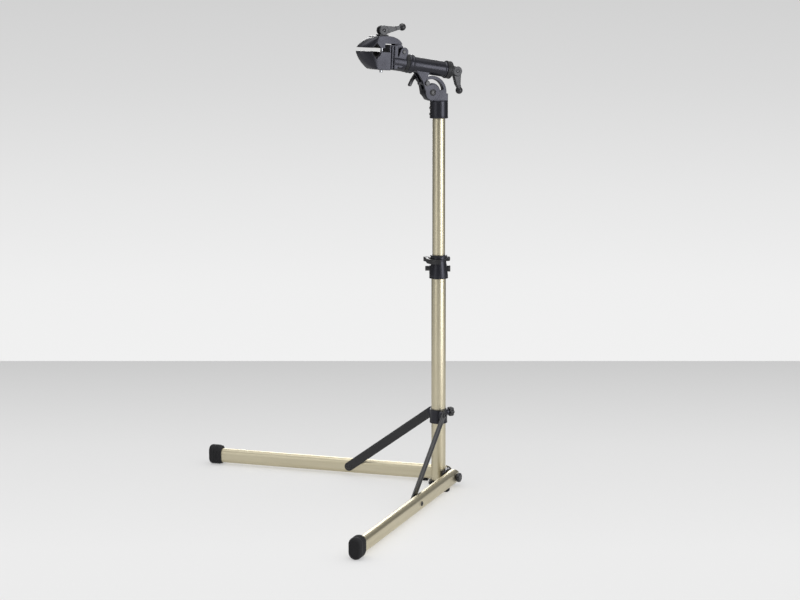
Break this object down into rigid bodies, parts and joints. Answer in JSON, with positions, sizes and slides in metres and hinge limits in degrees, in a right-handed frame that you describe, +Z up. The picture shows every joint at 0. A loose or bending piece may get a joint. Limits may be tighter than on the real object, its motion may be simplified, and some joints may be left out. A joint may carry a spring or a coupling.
{
  "type": "bicycle repair stand",
  "caption": "Folding two-legged repair stand with braces, telescopic swivelling mast, tilting head and a rotating two-jaw cam clamp.",
  "frame": {"origin": "on the floor under the mast axis, centre of the mast foot's lower face", "axes": "+Z up along the mast; -X to the front, where the clamp and both legs point; +Y towards the right leg"},
  "size_m": [0.5748, 1.0502, 1.2898],
  "materials": {
    "tube_champagne": "satin champagne anodised",
    "casting_black": "fine-textured black powder coat",
    "steel_black": "satin black paint",
    "steel_zinc": "bright zinc plate",
    "rubber_black": "matte",
    "lever_black": "satin moulded",
    "nylon_black": "matte nylon"
  },
  "bodies": {
    "base": {"base_bracket": "casting_black", "mast_foot": "rubber_black", "lower_mast": "tube_champagne", "mast_screws": "steel_black", "leg_pivot_bolts": "steel_black", "height_clamp": "casting_black", "clamp_skewer": "steel_black", "skewer_nut": "steel_black", "pinch_bolt": "steel_black"},
    "left_leg_body": {"left_leg": "tube_champagne", "left_foot_cap": "rubber_black", "left_rear_plug": "rubber_black", "left_under_foot": "rubber_black", "left_pivot_bush": "nylon_black", "left_brace_bolt": "steel_black"},
    "right_leg_body": {"right_leg": "tube_champagne", "right_foot_cap": "rubber_black", "right_rear_plug": "rubber_black", "right_under_foot": "rubber_black", "right_pivot_bush": "nylon_black", "right_brace_bolt": "steel_black"},
    "collar_body": {"fold_collar": "casting_black", "collar_liner": "nylon_black", "ear_bolts": "steel_black"},
    "knob_body": {"collar_knob": "lever_black", "collar_screw": "steel_black"},
    "left_brace_body": {"left_brace": "steel_black", "left_brace_rivet": "steel_black"},
    "right_brace_body": {"right_brace": "steel_black", "right_brace_rivet": "steel_black"},
    "height_lever_body": {"height_lever": "lever_black"},
    "bush_body": {"mast_bush": "nylon_black"},
    "upper_body": {"upper_mast": "tube_champagne", "glide_plug": "nylon_black", "head_casting": "casting_black", "socket_screws": "steel_black", "tilt_pin": "steel_black"},
    "arm_body": {"arm_casting": "casting_black", "front_bearing": "nylon_black", "rear_bearing": "nylon_black", "tilt_bolt": "steel_black"},
    "tilt_lever_body": {"tilt_lever": "lever_black"},
    "clamp_body": {"clamp_axle": "steel_zinc", "lower_jaw": "casting_black", "lower_jaw_pad": "rubber_black", "jaw_hinge_pin": "steel_black", "barrel_nut": "steel_zinc", "rear_saddle": "steel_black", "rear_cam_pin": "steel_black"},
    "rear_lever_body": {"rear_lever": "lever_black"},
    "upper_jaw_body": {"upper_jaw": "casting_black", "upper_jaw_pad": "rubber_black"},
    "rod_body": {"clamp_rod": "steel_zinc", "top_saddle": "steel_black", "top_cam_pin": "steel_black"},
    "top_lever_body": {"top_lever": "lever_black"}
  },
  "joints": [
    {"name": "left_leg_fold", "type": "hinge", "parent": "base", "child": "left_leg_body", "pos_m": [0.03094, -0.02584, 0.026], "axis": [-0.682, 0.7314, 0], "range_deg": [0, 65]},
    {"name": "right_leg_fold", "type": "hinge", "parent": "base", "child": "right_leg_body", "pos_m": [0.03094, 0.02584, 0.026], "axis": [0.682, 0.7314, 0], "range_deg": [0, 65]},
    {"name": "collar_slide", "type": "slide", "parent": "base", "child": "collar_body", "axis": [0, 0, 1], "range_m": [0, 0.3682]},
    {"name": "collar_knob_turn", "type": "hinge", "parent": "collar_body", "child": "knob_body", "pos_m": [0.03, 0, 0.209], "axis": [1, 0, 0], "continuous": true},
    {"name": "left_brace_swing", "type": "hinge", "parent": "collar_body", "child": "left_brace_body", "pos_m": [-0.00123, -0.03533, 0.209], "axis": [0.682, -0.7314, 0], "range_deg": [0, 37.4]},
    {"name": "right_brace_swing", "type": "hinge", "parent": "collar_body", "child": "right_brace_body", "pos_m": [-0.00123, 0.03533, 0.209], "axis": [-0.682, -0.7314, 0], "range_deg": [0, 37.4]},
    {"name": "height_lever_swing", "type": "hinge", "parent": "base", "child": "height_lever_body", "pos_m": [-0.01531, 0.04484, 0.64075], "axis": [0, 0, -1], "range_deg": [0, 110]},
    {"name": "mast_swivel", "type": "hinge", "parent": "base", "child": "bush_body", "pos_m": [0, 0, 0.6], "axis": [0, 0, 1], "continuous": true},
    {"name": "mast_height", "type": "slide", "parent": "bush_body", "child": "upper_body", "axis": [0, 0, 1], "range_m": [-0.365, 0.12]},
    {"name": "head_tilt", "type": "hinge", "parent": "upper_body", "child": "arm_body", "pos_m": [-0.025, 0, 1.104], "axis": [0, 1, 0], "range_deg": [0, 40]},
    {"name": "tilt_lever_swing", "type": "hinge", "parent": "arm_body", "child": "tilt_lever_body", "pos_m": [-0.04249, 0, 1.12898], "axis": [0, 1, 0], "range_deg": [0, 60]},
    {"name": "clamp_turn", "type": "hinge", "parent": "arm_body", "child": "clamp_body", "pos_m": [-0.01452, 0, 1.17017], "axis": [0.9877, 0, -0.1564], "continuous": true},
    {"name": "rear_lever_swing", "type": "hinge", "parent": "clamp_body", "child": "rear_lever_body", "pos_m": [0.05297, 0, 1.15949], "axis": [0, -1, 0], "range_deg": [0, 95]},
    {"name": "jaw_open", "type": "hinge", "parent": "clamp_body", "child": "upper_jaw_body", "pos_m": [-0.11427, 0, 1.21419], "axis": [0, 1, 0], "range_deg": [0, 16]},
    {"name": "rod_lift", "type": "slide", "parent": "clamp_body", "child": "rod_body", "axis": [0.0489, 0, 0.9988], "range_m": [0, 0.0211]},
    {"name": "top_lever_swing", "type": "hinge", "parent": "rod_body", "child": "top_lever_body", "pos_m": [-0.16853, 0, 1.27161], "axis": [0, -1, 0], "range_deg": [0, 95]}
  ],
  "couplings": [
    {"joint": "right_leg_fold", "follows": "left_leg_fold", "ratio": 1},
    {"joint": "collar_slide", "follows": "left_leg_fold", "m_per_rad": 0.32414},
    {"joint": "left_brace_swing", "follows": "left_leg_fold", "ratio": 0.57278},
    {"joint": "right_brace_swing", "follows": "left_leg_fold", "ratio": 0.57278},
    {"joint": "rod_lift", "follows": "jaw_open", "m_per_rad": 0.075}
  ]
}
